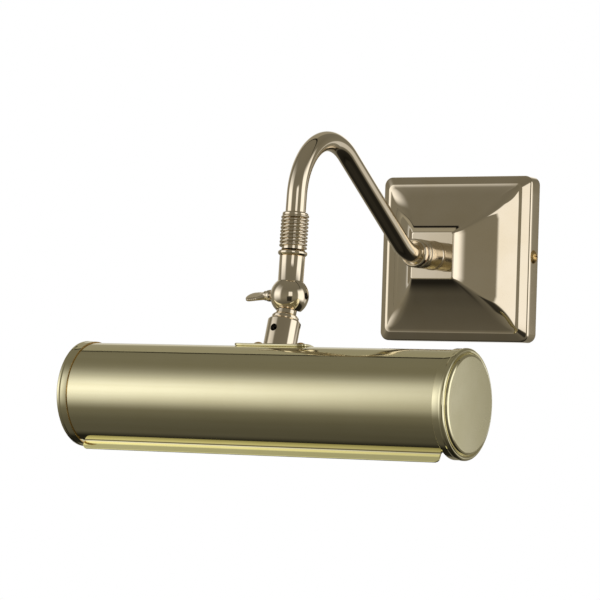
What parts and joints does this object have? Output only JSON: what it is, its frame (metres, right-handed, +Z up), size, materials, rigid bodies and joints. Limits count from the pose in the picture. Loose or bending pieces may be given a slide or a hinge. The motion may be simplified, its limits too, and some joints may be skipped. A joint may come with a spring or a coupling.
{
  "type": "picture light",
  "caption": "Wall-mounted picture light: square stepped wall plate, swan-neck arm on a wall swivel, slotted-ball knuckle with thumb screw, and a tubular shade open towards the wall.",
  "frame": {"origin": "centre of the wall plate's back face, where it meets the wall", "axes": "+X along the shade, +Y into the wall, +Z up"},
  "size_m": [0.255, 0.2706, 0.1911],
  "materials": {
    "polished_nickel": "polished",
    "brass": "satin",
    "zinc_steel": "zinc plated",
    "spring_steel": "plain",
    "black_steel": "blackened",
    "white_plastic": "matt",
    "fibre": "matt",
    "lead_sleeve": "satin",
    "lamp_glass": "clear"
  },
  "bodies": {
    "wall_plate": {"wall_bracket": "zinc_steel", "wall_cover": "polished_nickel", "cover_screw": "brass", "terminal_block": "white_plastic", "terminal_screws": "brass", "earth_screw": "brass", "swivel_collar": "polished_nickel", "spring_washer": "spring_steel", "fibre_washer": "fibre"},
    "arm": {"swivel_stem": "brass", "lock_nut": "brass", "arm_end_ring": "polished_nickel", "arm_tube": "polished_nickel", "arm_lead": "lead_sleeve", "ribbed_sleeve": "polished_nickel", "knuckle_ball": "polished_nickel"},
    "thumb_screw": {"wing_screw": "polished_nickel"},
    "shade": {"knuckle_swivel": "polished_nickel", "shade_coupler": "polished_nickel", "grub_screw": "black_steel", "saddle_plate": "polished_nickel", "saddle_screws": "brass", "saddle_nuts": "brass", "shade_tube": "polished_nickel", "end_cap_left": "polished_nickel", "end_cap_right": "polished_nickel", "lampholder_bracket": "zinc_steel", "lampholder_stem": "brass", "lampholder_nuts": "brass", "lampholder_body": "white_plastic", "lampholder_shell": "brass", "lampholder_contact": "brass", "lamp_lead": "lead_sleeve", "lamp_cap": "brass", "lamp_glass": "lamp_glass"}
  },
  "joints": [
    {"name": "wall_swivel", "type": "hinge", "parent": "wall_plate", "child": "arm", "pos_m": [0, -0.06, 0], "axis": [0, 1, 0], "range_deg": [-90, 90]},
    {"name": "thumb_screw_turn", "type": "hinge", "parent": "arm", "child": "thumb_screw", "pos_m": [0, -0.22093, -0.03462], "axis": [1, 0, 0], "range_deg": [0, 270]},
    {"name": "shade_tilt", "type": "hinge", "parent": "arm", "child": "shade", "pos_m": [0, -0.22093, -0.03462], "axis": [1, 0, 0], "range_deg": [0, 60]}
  ]
}
